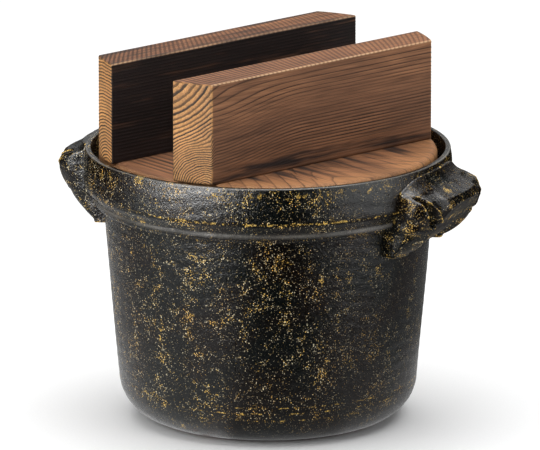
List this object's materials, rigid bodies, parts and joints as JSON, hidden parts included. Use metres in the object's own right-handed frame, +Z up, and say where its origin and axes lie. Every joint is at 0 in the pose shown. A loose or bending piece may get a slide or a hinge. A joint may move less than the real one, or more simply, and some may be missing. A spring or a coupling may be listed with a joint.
{
  "type": "rice pot",
  "caption": "Dark-glazed stoneware rice pot with a thick collar and pinched lug handles; its round cedar lid with tall battens seats inside the rim and lifts off.",
  "frame": {"origin": "middle of the flat foot, on the surface that the pot stands on", "axes": "+Z up along the pot's axis, +X through the middle of the right lug"},
  "size_m": [0.248, 0.21, 0.214],
  "materials": {
    "pot_glaze": "near-black glaze with fine amber speckle",
    "lug_glaze": "near-black glaze breaking to amber on the edges",
    "lid_cedar": "scorched and brushed cedar",
    "batten_cedar": "scorched and brushed cedar",
    "bamboo": "plain split bamboo"
  },
  "bodies": {
    "pot": {"pot_body": "pot_glaze", "lug_right": "lug_glaze", "lug_left": "lug_glaze"},
    "lid": {"lid_plank_left": "lid_cedar", "lid_plank_middle": "lid_cedar", "lid_plank_right": "lid_cedar", "batten_rear": "batten_cedar", "batten_front": "batten_cedar", "peg_left_rear": "bamboo", "peg_left_front": "bamboo", "peg_right_rear": "bamboo", "peg_right_front": "bamboo"}
  },
  "joints": [
    {"name": "lid_lift", "type": "slide", "parent": "pot", "child": "lid", "axis": [0, 0, 1], "range_m": [0, 0.12]}
  ]
}
